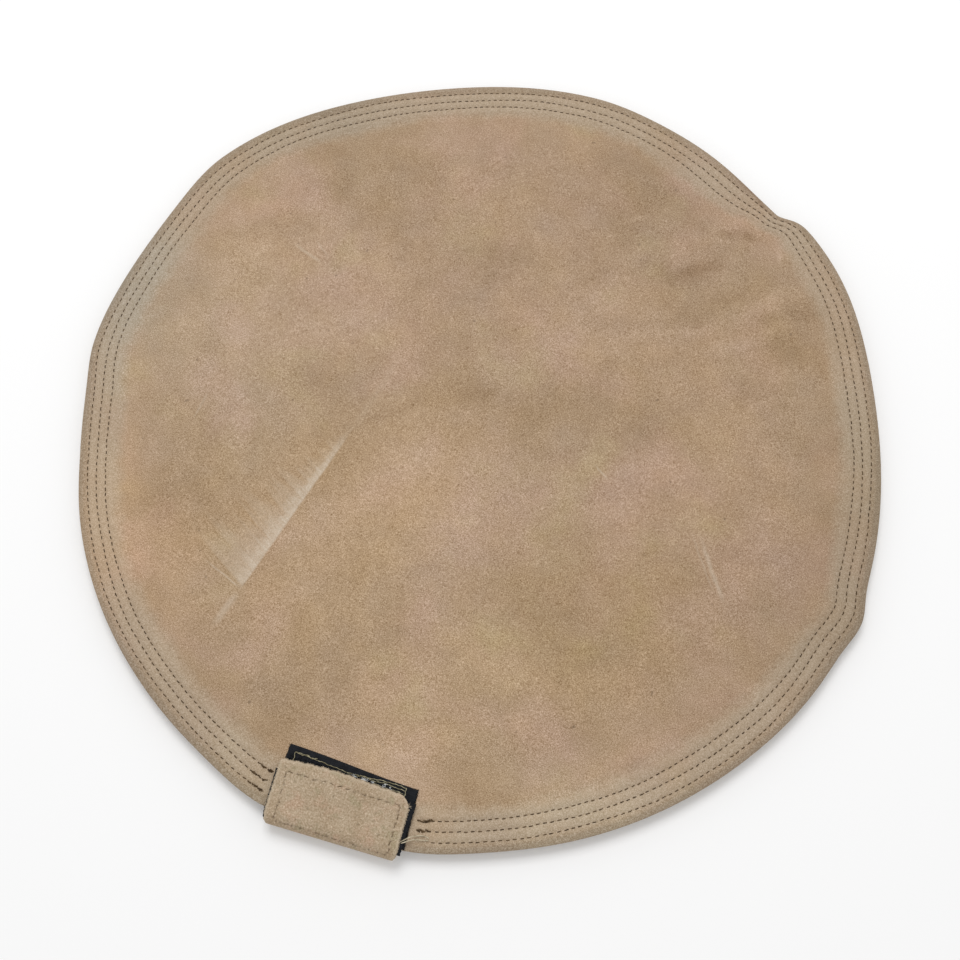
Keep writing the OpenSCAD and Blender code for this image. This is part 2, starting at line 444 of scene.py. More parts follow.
# ---------------------------------------------------------------- materials
class Shader:
    """A material built from nodes, with short calls for the nodes that the materials share."""

    def __init__(self, name, roughness, specular, sheen=0.0, sheen_tint=(1, 1, 1)):
        self.material = bpy.data.materials.new(name)
        self.material.use_nodes = True
        self.tree = self.material.node_tree
        self.surface = self.tree.nodes["Principled BSDF"].inputs
        self.surface["Roughness"].default_value = roughness
        self.surface["Specular IOR Level"].default_value = specular
        self.surface["Sheen Weight"].default_value = sheen
        self.surface["Sheen Roughness"].default_value = 0.5
        self.surface["Sheen Tint"].default_value = (*sheen_tint, 1)
        self.coords = self.node("ShaderNodeTexCoord").outputs["Object"]

    def node(self, kind, settings=(), **values):
        node = self.tree.nodes.new(kind)
        for name, value in dict(settings).items():
            setattr(node, name, value)
        for name, value in values.items():
            self.feed(node.inputs[name.replace("_", " ")], value)
        return node

    def feed(self, socket, value):
        if isinstance(value, bpy.types.NodeSocket):
            self.tree.links.new(value, socket)
        else:
            socket.default_value = value

    def math(self, operation, *values, kind="ShaderNodeMath"):
        node = self.node(kind, {"operation": operation})
        for socket, value in zip(node.inputs, values):
            self.feed(socket, value)
        return node.outputs["Value"] if operation == "DISTANCE" else node.outputs[0]

    def product(self, *values):
        total = values[0]
        for value in values[1:]:
            total = self.math("MULTIPLY", total, value)
        return total

    def smooth(self, value, low, high, at_low=0.0, at_high=1.0):
        """A smooth step of value, from at_low up to low to at_high from high on."""
        kind = {"interpolation_type": "SMOOTHSTEP"}
        ends = {"From_Min": low, "From_Max": high, "To_Min": at_low, "To_Max": at_high}
        return self.node("ShaderNodeMapRange", kind, Value=value, **ends).outputs[0]

    def noise(self, size, detail=2.0, rough=0.5, distortion=0.0):
        """Noise whose lumps are about size millimetres across."""
        looks = {"Detail": detail, "Roughness": rough, "Distortion": distortion}
        node = self.node("ShaderNodeTexNoise", Vector=self.coords, Scale=MM / size, **looks)
        return node.outputs[0]

    def noise_along(self, length, scale, detail):
        """Noise along one line, the same all the way across it."""
        kind = {"noise_dimensions": "1D"}
        return self.node("ShaderNodeTexNoise", kind, W=length, Scale=scale, Detail=detail).outputs[0]

    def mix(self, factor, a, b, blend="MIX"):
        settings = {"data_type": "RGBA", "blend_type": blend, "clamp_factor": True}
        node = self.node("ShaderNodeMix", settings)
        for index, value in ((0, factor), (6, a), (7, b)):
            value = (*value, 1) if isinstance(value, tuple) and len(value) == 3 else value
            self.feed(node.inputs[index], value)
        return node.outputs[2]

    def blotch(self, colour, tint, size, low, high, at_low=0.0, at_high=1.0, **noise):
        """The colour mixed with a tint in patches about size millimetres across."""
        patches = self.smooth(self.noise(size, **noise), low, high, at_low, at_high)
        return self.mix(patches, colour, tint)

    def wander(self, size, reach, detail=2.0):
        """Noise that runs through reach in all, half of it below nothing."""
        return self.math("MULTIPLY_ADD", self.noise(size, detail), reach, -reach / 2)

    def shade(self, colour, value, amount, weights=(1, 1, 1)):
        """The colour made lighter where value is above a half and darker where it is below."""
        shares = [amount * weight for weight in weights]
        gains = [self.math("MULTIPLY_ADD", value, 2 * share, 1 - share) for share in shares]
        gain = self.node("ShaderNodeCombineColor", **dict(zip(("Red", "Green", "Blue"), gains)))
        return self.mix(1.0, colour, gain.outputs[0], "MULTIPLY")

    def attribute(self, name):
        return self.node("ShaderNodeAttribute", {"attribute_name": name}).outputs["Fac"]

    def turned(self, origin, degrees):
        """Millimetres along and across a line on the face that starts at origin."""
        start = (origin[0] / MM, origin[1] / MM, 0)
        moved = self.math("SUBTRACT", self.coords, start, kind="ShaderNodeVectorMath")
        axis = {"rotation_type": "Z_AXIS"}
        turn = self.node("ShaderNodeVectorRotate", axis, Vector=moved, Angle=math.radians(-degrees))
        split = self.node("ShaderNodeSeparateXYZ", Vector=turn.outputs[0])
        return [self.math("MULTIPLY", split.outputs[i], MM) for i in (0, 1)]

    def streak(self, start, end, width, strength, wobble):
        """A faint rubbed line on the face, from start to end, that wanders by wobble."""
        run = np.subtract(end, start)
        length = math.hypot(*run)
        along, across = self.turned(start, math.degrees(math.atan2(run[1], run[0])))
        off = self.math("ABSOLUTE", self.math("ADD", across, wobble))
        body = self.smooth(off, 0.0, width, 1.0, 0.0)
        head = self.smooth(along, -2.0, 0.35 * length)
        tail = self.smooth(along, 0.75 * length, length + 2.0, 1.0, 0.0)
        return self.product(body, head, tail, strength)

    def bump(self, height, strength, distance, normal=None):
        node = self.node("ShaderNodeBump", Height=height, Strength=strength, Distance=distance / MM)
        if normal is not None:
            self.feed(node.inputs["Normal"], normal)
        return node.outputs[0]

    def done(self, colour, normal):
        self.feed(self.surface["Base Color"], colour)
        self.feed(self.surface["Normal"], normal)
        return self.material


SUEDE = (0.412, 0.286, 0.187)
SUEDE_DARK = (0.358, 0.249, 0.155)
SUEDE_ROSE = (0.436, 0.297, 0.211)
SUEDE_OLIVE = (0.392, 0.288, 0.164)
BAND_PALE = (0.408, 0.320, 0.230)
# painted shade: the colour of the rim's outer few millimetres, where its turned edge rounds away from the
# light
RIM_EDGE_SHADE = (0.305, 0.240, 0.172)
CREASE_PALE = (0.560, 0.466, 0.362)
STAIN = (0.200, 0.115, 0.070)
SPECK = (0.130, 0.085, 0.050)
DUST = (0.090, 0.085, 0.075)
EVEN_GREY = (0.85, 1.0, 1.25)  # gains on red, green and blue that shade this tan without tinting it


def suede_coat(shader):
    """Suede's own colour: soft clouds where the nap lies differently."""
    colour = shader.blotch(SUEDE_DARK, SUEDE, 95, 0.36, 0.66, detail=3.0)
    colour = shader.blotch(colour, SUEDE_ROSE, 60, 0.45, 0.75, 0.0, 0.8, distortion=0.4)
    colour = shader.blotch(colour, SUEDE_OLIVE, 42, 0.56, 0.80, 0.0, 0.7)
    colour = shader.shade(colour, shader.noise(27), 0.10, (-0.3, 0.0, 1.0))
    colour = shader.shade(colour, shader.noise(20, 3.0), 0.17, EVEN_GREY)
    return shader.shade(colour, shader.noise(8), 0.09, EVEN_GREY)


def add_tone_and_light_spots(shader, colour):
    """Broad soft patches where the front is lighter or darker, partly its own tone and partly painted
    light and shade; the brightest, near the rim on the -Y side, are painted light where that side faces
    away from the lamp.
    """
    for x, y, radius, gain in TONE_AND_LIGHT_SPOTS:
        spot = (x / MM, y / MM, 0.01)
        apart = shader.math("DISTANCE", shader.coords, spot, kind="ShaderNodeVectorMath")
        off = shader.math("ADD", shader.math("MULTIPLY", apart, MM), shader.wander(38, radius))
        lit = shader.mix(1.0, colour, gain, "MULTIPLY")
        colour = shader.mix(shader.smooth(off, 0.0, radius, 1.0, 0.0), colour, lit)
    return colour


def suede_grain(shader, colour):
    """The fine nap, as colour and as bump."""
    grain = shader.noise(1.0, rough=0.7, distortion=1.2)
    colour = shader.shade(colour, grain, 0.60, EVEN_GREY)
    colour = shader.shade(colour, shader.noise(0.55, 1.0, rough=0.7), 0.95, EVEN_GREY)
    specks = shader.smooth(shader.noise(3.4, 0.0), 0.84, 0.90)
    colour = shader.mix(shader.math("MULTIPLY", specks, 0.45), colour, SPECK)
    normal = shader.bump(grain, 0.5, 0.35)
    return colour, shader.bump(shader.noise(5.0), 0.25, 0.5, normal)


def crease_glow(shader):
    """Pale crushed nap along the old fold: a line with a sharp right side and feathers on its left."""
    along, across = shader.turned(CREASE_AT, CREASE_TURN)
    head = shader.smooth(along, -4.0, 4.0)
    tail = shader.smooth(along, 0.72 * CREASE_L, 1.14 * CREASE_L, 1.0, 0.0)
    sharp = shader.smooth(across, -0.9, 0.5)
    line = shader.product(sharp, shader.smooth(across, 1.0, 5.5, 0.78, 0.0))
    lean = shader.math("MULTIPLY_ADD", across, -0.25, along)
    reach = shader.smooth(shader.noise_along(lean, 0.13, 3.0), 0.30, 0.68, 7.0, 20.0)
    envelope = shader.smooth(along, 26.0, 88.0, 1.0, 0.30)
    reach = shader.product(reach, shader.smooth(along, -12.0, 12.0), envelope)
    ratio = shader.math("DIVIDE", across, shader.math("MAXIMUM", reach, 0.4))
    worn = shader.smooth(across, 1.0, 7.0, 0.74, 0.52)
    feather = shader.product(sharp, worn, shader.smooth(ratio, 0.35, 1.15, 1.0, 0.0))
    haze = shader.product(sharp, shader.smooth(ratio, 0.7, 2.4, 0.28, 0.0))
    glow = shader.math("MAXIMUM", shader.math("MAXIMUM", line, haze), feather)
    rag = shader.math("MULTIPLY_ADD", shader.noise(4.0, 4.0), 1.1, 0.45)
    rays = shader.smooth(shader.noise_along(lean, 0.6, 2.0), 0.3, 0.7, 0.82, 1.12)
    return shader.product(glow, head, tail, shader.product(rag, rays))


def paint_fold_light_and_shade(shader, colour, wobble):
    """Long soft streaks of painted light and shade over the pulled folds, where the nap also lies lighter
    or darker.
    """
    total = 0.0
    for streak in FOLD_LIGHT_AND_SHADE_STREAKS:
        total = shader.math("ADD", total, shader.streak(*streak, wobble))
    broken = shader.math("MULTIPLY_ADD", shader.noise(11), 1.4, 0.3)
    return shader.shade(colour, shader.math("MULTIPLY_ADD", total, broken, 0.5), 0.5, EVEN_GREY)


def band_and_rim(shader, colour):
    """The paler handled band under the rows, with a ragged inner side, and painted shade on the rim
    outside it, where the turned edge rounds away from the light.
    """
    inset = shader.math("MULTIPLY", shader.attribute("inset"), MM)
    ragged = shader.math("ADD", shader.wander(9, 7.0, 3.0), shader.wander(70, 9.0, 1.0))
    inner_side = shader.smooth(shader.math("ADD", inset, ragged), 17.5, 27.0, 1.0, 0.0)
    band = shader.math("MULTIPLY", inner_side, shader.smooth(inset, 2.0, 7.0))
    patch = shader.smooth(shader.noise(34), 0.3, 0.58, 0.6, 1.0)
    colour = shader.mix(shader.product(band, patch, 0.9), colour, BAND_PALE)
    # painted shade along the rim's outer few millimetres
    return shader.mix(shader.smooth(inset, 2.0, 7.0, 0.8, 0.0), colour, RIM_EDGE_SHADE), band


def front_marks(shader, colour):
    """The front's patches and streaks, partly its own tone and partly painted light and shade, its stains,
    and where its nap is crushed pale.
    """
    wobble = shader.wander(6, 2.0)
    colour = paint_fold_light_and_shade(shader, add_tone_and_light_spots(shader, colour), wobble)
    for stain in STAINS:
        colour = shader.mix(shader.streak(*stain, wobble), colour, STAIN)
    crushed = crease_glow(shader)
    for rub in RUBS:
        crushed = shader.math("MAXIMUM", crushed, shader.streak(*rub, wobble))
    return colour, crushed


def panel_suede(name, marks):
    """The panels' napped suede. marks adds the crease, the rubs and the stains of the front."""
    shader = Shader(name, 0.93, 0.18, sheen=0.06, sheen_tint=(0.95, 0.85, 0.72))
    colour, band = band_and_rim(shader, suede_coat(shader))
    if marks:
        colour, crushed = front_marks(shader, colour)
    grained, normal = suede_grain(shader, colour)
    colour = shader.mix(shader.math("MULTIPLY", band, 0.35), grained, colour)
    if marks:
        pale = shader.shade(CREASE_PALE, shader.noise(0.7, rough=0.7), 0.55, EVEN_GREY)
        colour = shader.mix(crushed, colour, pale)
    return shader.done(colour, normal)


# Where the front is lighter or darker, partly its own tone and partly painted light and shade: x, y,
# radius, gains on red, green and blue
TONE_AND_LIGHT_SPOTS = (
    (-62, -100, 110, (1.13, 1.13, 1.11)),
    (40, -150, 95, (1.13, 1.14, 1.12)),
    (-20, -36, 80, (1.10, 1.10, 1.10)),
    (-160, 0, 110, (1.08, 1.13, 1.16)),
    (-175, -125, 75, (1.13, 1.09, 1.04)),
    (-228, 15, 65, (0.90, 0.96, 1.02)),
    (-170, 170, 95, (0.88, 0.90, 0.91)),
    (-10, -258, 95, (1.20, 1.26, 1.25)),
    (135, -225, 90, (1.22, 1.28, 1.27)),
    (219, 50, 60, (0.92, 0.93, 0.91)),
    (120, -75, 80, (0.94, 0.93, 0.89)),
    (206, -30, 95, (0.88, 0.88, 0.87)),
    (85, -80, 90, (0.94, 0.94, 0.84)),
    (45, 150, 80, (0.90, 0.90, 0.91)),
    (-40, 95, 80, (0.94, 0.94, 0.95)),
    (120, 100, 60, (0.97, 0.97, 0.96)),
)

# Soft streaks of painted light and shade, most of them over the folds at the notch, where the nap also
# lies lighter or darker: start, end, half width, gain
FOLD_LIGHT_AND_SHADE_STREAKS = (
    ((61, 78), (109, 98), 7, 0.12),
    ((102, 95), (145, 134), 9, 0.14),
    ((100, 79), (135, 100), 7, 0.12),
    ((131, 97), (148, 119), 6, 0.10),
    ((71, 132), (104, 151), 8, 0.15),
    ((93, 151), (110, 164), 5, 0.12),
    ((34, 145), (53, 159), 3, 0.13),
    ((130, 164), (135, 151), 2, 0.20),
    ((109, 67), (139, 90), 8, 0.10),
    ((91, 158), (119, 166), 6, -0.20),
    ((67, 112), (105, 148), 9, -0.18),
    ((69, 105), (93, 105), 13, -0.12),
    ((101, 114), (126, 130), 7, -0.12),
    ((143, 124), (168, 128), 10, -0.12),
    ((140, 92), (175, 108), 11, -0.10),
    ((-54, 87), (-89, 97), 8, -0.10),
    ((-17, 12), (7, 16), 11, -0.14),
    ((-66, -25), (-30, 3), 5, -0.13),
)

# Grubby streaks along the outer row beside the notch: start, end, half width, strength
STAINS = (
    ((94, 200), (107, 193), 2.2, 0.40),
    ((103, 196), (117, 185), 1.6, 0.45),
    ((85, 205), (97, 200), 1.6, 0.25),
)

# Rubbed lines on the front: start, end, half width, strength
RUBS = (
    ((-97, -153), (-91, -132), 3.2, 0.40),
    ((-115, -121), (-89, -130), 0.9, 0.45),
    ((-66, -34), (-54, 28), 3.6, 0.10),
    ((134, -22), (157, -54), 2.0, 0.42),
    ((128, -20), (150, -50), 1.0, 0.25),
    ((69, -3), (77, -8), 1.0, 0.45),
    ((-140, 72), (-120, 65), 1.6, 0.35),
    ((-128, 78), (-118, 70), 1.0, 0.25),
    ((-151, -31), (-153, -47), 1.0, 0.30),
)


def flap_suede():
    """The flap's coarser split suede, greyer, with paler fuzzy edges and painted shade in its needle
    holes.
    """
    shader = Shader("flap_suede", 0.95, 0.15, sheen=0.08, sheen_tint=(0.95, 0.88, 0.78))
    shader.coords = shader.node("ShaderNodeUVMap", {"uv_map": "strip"}).outputs[0]
    dark, light = (0.370, 0.275, 0.180), (0.430, 0.335, 0.232)
    rose, olive = (0.450, 0.300, 0.205), (0.315, 0.262, 0.160)
    fleck, pit = (0.600, 0.475, 0.345), (0.230, 0.178, 0.112)
    fuzz, hole_shade = (0.520, 0.430, 0.315), (0.060, 0.038, 0.022)
    colour = shader.blotch(dark, light, 16, 0.34, 0.66, detail=3.0)
    colour = shader.blotch(colour, rose, 13, 0.50, 0.66, 0.0, 0.60, detail=3.0)
    colour = shader.blotch(colour, olive, 10, 0.53, 0.68, 0.0, 0.70, detail=3.0)
    colour = shader.blotch(colour, fleck, 1.3, 0.53, 0.70, 0.0, 0.75, rough=0.65, distortion=1.5)
    colour = shader.blotch(colour, pit, 1.9, 0.24, 0.40, 0.55, 0.0, detail=1.0)
    grain = shader.noise(0.9, 3.0, rough=0.65)
    colour = shader.shade(colour, grain, 0.85, EVEN_GREY)
    edge = shader.math("MULTIPLY", shader.attribute("edge_off"), MM)
    rim = shader.smooth(shader.math("ADD", edge, shader.wander(2.5, 1.8)), 0.1, 2.2, 0.62, 0.0)
    # painted shade in the needle holes
    colour = shader.mix(shader.attribute("hole_shade"), shader.mix(rim, colour, fuzz), hole_shade)
    normal = shader.bump(grain, 0.6, 0.5)
    return shader.done(colour, shader.bump(shader.noise(3.2), 0.4, 0.7, normal))


def thread_material(name, dark, light, roughness):
    shader = Shader(name, roughness, 0.2)
    colour = shader.blotch(dark, light, 2.4, 0.35, 0.65)
    colour = shader.shade(colour, shader.noise(0.3), 0.3)
    return shader.done(colour, shader.bump(shader.noise(0.25, 1.0), 0.5, 0.08))


def tape_material(name, dark, light, weave):
    """Black woven nylon tape: fine crossed ribs under a little lint."""
    shader = Shader(name, 0.8, 0.2)
    colour = shader.blotch(dark, light, 3.0, 0.35, 0.7, detail=3.0)
    colour = shader.blotch(colour, DUST, 1.1, 0.70, 0.82, 0.0, 0.4)
    ribs = []
    bands, scale = {"wave_type": "BANDS"}, MM / weave / 6.3
    for turn in (SKEW, SKEW + math.pi / 2):
        turned = shader.node("ShaderNodeMapping", Vector=shader.coords, Rotation=(0, 0, -turn))
        across = turned.outputs[0]
        wave = shader.node("ShaderNodeTexWave", bands, Vector=across, Scale=scale, Distortion=0.6)
        ribs.append(wave.outputs["Fac"])
    return shader.done(colour, shader.bump(shader.math("MAXIMUM", *ribs), 0.7, 0.2))


materials = {
    "front": panel_suede("panel_suede", True),
    "back": panel_suede("panel_suede_back", False),
    "flap": flap_suede(),
    # painted shade: the sewn rows' thread is coloured dark brown so that it reads as the shade in its sunk
    # needle holes
    "brown": thread_material("brown_thread", (0.050, 0.028, 0.011), (0.115, 0.071, 0.033), 0.75),
    "brown_soft": thread_material("brown_thread_worn", (0.12, 0.078, 0.042), (0.25, 0.18, 0.11), 0.8),
    "khaki": thread_material("khaki_thread", (0.20, 0.175, 0.105), (0.36, 0.33, 0.215), 0.7),
    "khaki_pale": thread_material("khaki_thread_pale", (0.40, 0.345, 0.24), (0.60, 0.53, 0.39), 0.7),
    "loop": tape_material("loop_tape", (0.0065, 0.0070, 0.0090), (0.0120, 0.0130, 0.0165), 0.55),
    "hook": tape_material("hook_tape", (0.0070, 0.0076, 0.0100), (0.0125, 0.0138, 0.0180), 0.7),
    "pile": thread_material("loop_pile", (0.006, 0.0065, 0.008), (0.014, 0.015, 0.018), 0.75),
    "fuzz": thread_material("suede_fuzz", (0.46, 0.37, 0.26), (0.66, 0.56, 0.42), 0.9),
    "lint": thread_material("white_lint", (0.55, 0.58, 0.60), (0.80, 0.82, 0.82), 0.9),
}


# ---------------------------------------------------------------- camera, light and floor
FLOOR_HALF_W, FLOOR_GAP = 4.0, 0.0004  # in metres


def add_camera():
    azimuth, elevation, distance = math.radians(19.0), math.radians(72.5), 0.64
    target = Vector((0.0106, -0.0289, 0.0044))
    level = math.cos(elevation)
    back = Vector((math.sin(azimuth) * level, -math.cos(azimuth) * level, math.sin(elevation)))
    camera = bpy.data.objects.new("camera", bpy.data.cameras.new("camera"))
    camera.data.lens = 43.17
    camera.data.clip_start = 0.01
    camera.location = target + back * distance
    camera.rotation_euler = (-back).to_track_quat("-Z", "Y").to_euler()
    bpy.context.scene.collection.objects.link(camera)
    bpy.context.scene.camera = camera


def add_area_light(name, place_at, size, energy):
    light = bpy.data.lights.new(name, "AREA")
    light.size = size
    light.energy = energy
    obj = bpy.data.objects.new(name, light)
    obj.location = place_at
    obj.rotation_euler = (-Vector(place_at)).to_track_quat("-Z", "Y").to_euler()
    bpy.context.scene.collection.objects.link(obj)


def add_studio():
    world = bpy.data.worlds.new("studio")
    world.use_nodes = True
    light = world.node_tree.nodes["Background"].inputs
    light["Color"].default_value = (1, 1, 1, 1)
    light["Strength"].default_value = 0.72
    bpy.context.scene.world = world
    add_area_light("key", (-0.45, 0.95, 1.9), 1.0, 20.0)
    bpy.context.scene.view_settings.view_transform = "Standard"
    mesh = bpy.data.meshes.new("floor")
    corners = [(x * FLOOR_HALF_W, y * FLOOR_HALF_W, 0) for x, y in ((-1, -1), (1, -1), (1, 1), (-1, 1))]
    mesh.from_pydata(corners, [], [(0, 1, 2, 3)])
    floor = bpy.data.objects.new("floor", mesh)
    floor.location = (0, 0, -FLOOR_GAP)
    bpy.context.scene.collection.objects.link(floor)
    paper = bpy.data.materials.new("floor_paper")
    paper.use_nodes = True
    surface = paper.node_tree.nodes["Principled BSDF"].inputs
    surface["Base Color"].default_value = (0.93, 0.93, 0.93, 1)
    surface["Roughness"].default_value = 1.0
    surface["Specular IOR Level"].default_value = 0.0
    mesh.materials.append(paper)
    floor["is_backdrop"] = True


# ---------------------------------------------------------------- the two panels
BAND_INSETS = (
    *np.arange(2.9, 4.8, 0.8), 5.1, 5.5, 5.9, 6.4, 7.2, 8.0, 8.8, 9.7, 10.1, 10.5, 10.9, 11.4,
    12.2, 13.0, 13.8, 14.7, 15.1, 15.5, 15.9, 16.4, 17.4, 18.6, 20.2, 21.8, 23.4,
)
INNER_INSETS = np.arange(26.0, 190.0, 3.4)
CORE_INSETS = np.arange(192.0, 225.0, 4.6)
UNDER_INSETS = (28.0, 38.0, 52.0, 70.0, 90.0, 112.0, 135.0, 158.0, 180.0, 200.0, 216.0)
EDGE_TURNS = np.radians(np.linspace(90, -90, 9))
COARSE_FROM, UNDER_CORE_FROM = 130.0, 180.0  # insets past which a side's rings have fewer points


def ring_angles(count):
    return np.arange(count) * 360.0 / count


def ring_at(count, inset, height):
    """A ring of points inset from the rim. height is a function of inset and angle."""
    angle = ring_angles(count)
    x, y = place(inset, angle)
    return np.stack([x, y, height(inset, angle) + 0 * x], 1), inset + 0 * x


def edge_ring(turn):
    """A ring on the turned edge, its height counted down from the panel's outer side. It is a full
    half-round where the edge is turned in, and only one layer's in the mouth."""
    angle = ring_angles(FINE_RING)
    r = LEATHER * (1 - 0.5 * mouth_window(angle))
    inset = r * (1 - math.cos(turn))
    x, y = place(inset, angle)
    return x, y, r * (math.sin(turn) - 1), inset


def open_sides(angle):
    """Level of the turned-in layer's hidden side, counted from the panel's outer side."""
    return 2 * LEATHER * (1 - 0.5 * mouth_window(angle)) - 0.05


def panel_skin(name, outside, edge, turned_in, inside, skip, poles):
    """A panel's closed skin, from the middle of its outer side over the edge to its inner side.
    outside, turned_in and inside give heights, and edge gives the ring at a turn of the edge."""
    rings = [ring_at(CORE_RING, inset, outside) for inset in CORE_INSETS[::-1]]
    for inset in INNER_INSETS[::-skip]:
        rings.append(ring_at(INNER_RING if inset > COARSE_FROM else WIDE_RING, inset, outside))
    rings += [ring_at(FINE_RING, inset, outside) for inset in BAND_INSETS[::-1]]
    rings += [edge(turn) for turn in EDGE_TURNS]
    rings += [ring_at(WIDE_RING, inset, turned_in) for inset in (6.0, ALLOWANCE_W)]
    rings.append(ring_at(WIDE_RING, ALLOWANCE_W + 0.3, inside))
    for inset in UNDER_INSETS:
        rings.append(ring_at(INNER_RING if inset < UNDER_CORE_FROM else CORE_RING, inset, inside))
    points, insets = zip(*rings)
    panel = disc_mesh(name, points, *poles)
    set_values(panel, "inset", np.concatenate([[RIM_R], *insets, [RIM_R]]) / MM)
    return panel


def front_panel():
    def edge(turn):
        x, y, z, inset = edge_ring(turn)
        return np.stack([x, y, FACE_Z + z], 1), inset

    def inside(inset, angle):
        return face_height(inset, angle) - LEATHER if inset > UNDER_INSETS[0] - 1 else LIP_Z

    turned_in = lambda inset, angle: FACE_Z - open_sides(angle)
    top = face_height(np.array([RIM_R - 1e-6]), np.array([0.0]))[0]
    poles = ((0, 0, top), (0, 0, top - LEATHER))
    return panel_skin("front_panel_leather", face_height, edge, turned_in, inside, 1, poles)


def back_relief(inset, angle):
    """The underside lies flat, and is only pulled up along the bobbin rows."""
    return row_grooves(inset, angle, 0.15) * (1 - mouth_window(angle))


def lip_top(inset, angle):
    """Upper side of the back panel's inside, let in where the flap's root is sewn on."""
    x, y = place(inset, angle)
    u = (x - FOLD_AT[0]) * math.cos(SKEW) + (y - FOLD_AT[1]) * math.sin(SKEW)
    v = (y - FOLD_AT[1]) * math.cos(SKEW) - (x - FOLD_AT[0]) * math.sin(SKEW)
    beside = ease(np.abs(u), FLAP_HALF_W + 0.2, FLAP_HALF_W + 1.4)
    beyond = ease(v, ROOT_END + 0.3, ROOT_END + 2)
    return LEATHER - (LEATHER - SKIVED) * (1 - beside) * (1 - beyond)


def back_panel():
    window = mouth_window(ring_angles(FINE_RING))

    def edge(turn):
        x, y, z, inset = edge_ring(turn)
        lip = lip_top(inset, ring_angles(FINE_RING)) / LEATHER
        return np.stack([x, y, -z * (1 + window * (lip - 1))], 1), inset

    def turned_in(inset, angle):
        return np.where(mouth_window(angle) > 0.5, lip_top(inset, angle), open_sides(angle))

    poles = ((0, 0, 0), (0, 0, LEATHER))
    return panel_skin("back_panel_leather", back_relief, edge, turned_in, lip_top, 3, poles)


def add_panels():
    front = finish_piece(front_panel(), "front", "shell", "panel_suede", "front_panel")
    back = finish_piece(back_panel(), "back", "shell", "panel_suede", "back_panel")


# ---------------------------------------------------------------- the rows of stitches
def stitch_angles(row, draw):
    """The middle of every stitch of a row, with a little unevenness, from one end of the mouth
    round to the other."""
    angle = (np.arange(STITCHES) + 0.5 + ROW_START[row]) * 360 / STITCHES
    late = 2.2 if row == "outer" else 0.0
    off = (angle - MOUTH_AT + 180) % 360 - 180
    angle = angle[(off > MOUTH_HALF + late) | (off < 0.8 - MOUTH_HALF)]
    return angle + draw.normal(0, 0.035, len(angle))


def row_paths(row, angle, length, lift, level, side, draw):
    """Paths of short stitches along a row. level is the leather's height and side is 1 on the
    face, where a stitch arches up, and -1 on the back."""
    count = (len(angle), 1)
    half = length / 2 / RIM_R * 180 / math.pi * draw.normal(1, 0.07, count)
    around = angle[:, None] + SPAN * half
    drift = draw.normal(0, 0.09, count) + SPAN * draw.normal(0, 0.07, count)
    x, y = place(row_inset(row, around) + drift, around)
    arch = lift * (1 - np.abs(SPAN) ** 2.6) - 0.62 * np.abs(SPAN) ** 4
    return np.stack([x, y, level + side * (arch + 0 * x)], -1)


def tangle_paths(row, angle, count, level, draw):
    """Backstitches sewn over one another at the end of a row."""
    each = (count, 1)
    turn = angle + draw.uniform(-1.25, 1.25, each)
    half = draw.uniform(0.22, 0.42, each)
    slant = draw.uniform(-0.9, 0.9, each)
    around = turn + SPAN * half
    x, y = place(row_inset(row, around) + draw.normal(0, 0.35, each) + SPAN * slant, around)
    arch = draw.uniform(0.15, 0.55, each) * (1 - SPAN * SPAN) - 0.5 * np.abs(SPAN) ** 4
    return np.stack([x, y, level + arch], -1)


def add_thread(name, paths, radius, look, body, node, sides=8, lobe=0.14, twist=0.9):
    """A twisted thread along every path. radius is a share of the CAD thread's thickness."""
    obj = tubes(name, paths, THREAD * radius, sides, lobe, twist)
    slot = "khaki_thread" if look.startswith("khaki") else "brown_thread"
    return finish_piece(obj, look, body, slot, node)


def add_rows():
    draw = np.random.default_rng(21)
    for row in ROWS:
        angle = stitch_angles(row, draw)
        face = row_paths(row, angle, 2.35, 0.22, FACE_Z - GROOVE - 0.04, 1, draw)
        ends = [MOUTH_AT - MOUTH_HALF - 0.5, MOUTH_AT + MOUTH_HALF + 1.1]
        ends = ends[:1] if row == "outer" else ends
        tangles = [tangle_paths(row, end, 5, FACE_Z - 0.12, draw) for end in ends]
        face = np.concatenate([face, *tangles])
        add_thread(f"{row}_row_stitches", face, 0.39, "brown", "shell", f"{row}_row_needle_thread")
        under = row_paths(row, angle, 2.6, 0.10, GROOVE + 0.06, -1, draw)
        under[..., 2] = np.maximum(under[..., 2], THREAD * 0.42)
        node = f"{row}_row_bobbin_thread"
        add_thread(f"{row}_row_bobbin_stitches", under, 0.38, "brown", "shell", node, sides=6)


def add_rim_seam():
    """Stitches of the closing seam, deep in the valley between the two turned edges."""
    draw = np.random.default_rng(22)
    angle = stitch_angles("inner", draw)
    x, y = place(1.35 + 0.5 * SPAN * SPAN, angle[:, None] + SPAN * 0.34)
    z = 2 * LEATHER + 0.35 * SPAN * draw.choice([-1, 1], len(angle))[:, None]
    paths = np.stack([x, y, z], -1)
    add_thread("rim_seam_stitches", paths, 0.4, "brown", "shell", "rim_seam_thread", sides=6)


# ---------------------------------------------------------------- the flap
def flap_left(v):
    return -FLAP_HALF_W + 0.5 - 1.3 * ease(v, 0, 30)


def flap_right(v):
    return FLAP_HALF_W + 1.1 - 0.3 * ease(v, 0, 12)


def free_edge(u):
    """The free edge bows out a little left of its middle."""
    return FLAP_L - 1.3 + 1.9 * hill(u, -8, 26) + 0.18 * np.sin(u * 0.9) + 0.12 * np.sin(u * 2.3)


def corner_cut(v, top, radius):
    """How far a rounded corner takes a side in at a given height below the free edge."""
    t = np.clip((v - (top - radius)) / radius, 0, 1)
    return radius * (1 - np.sqrt(np.clip(1 - t * t, 0, 1)))


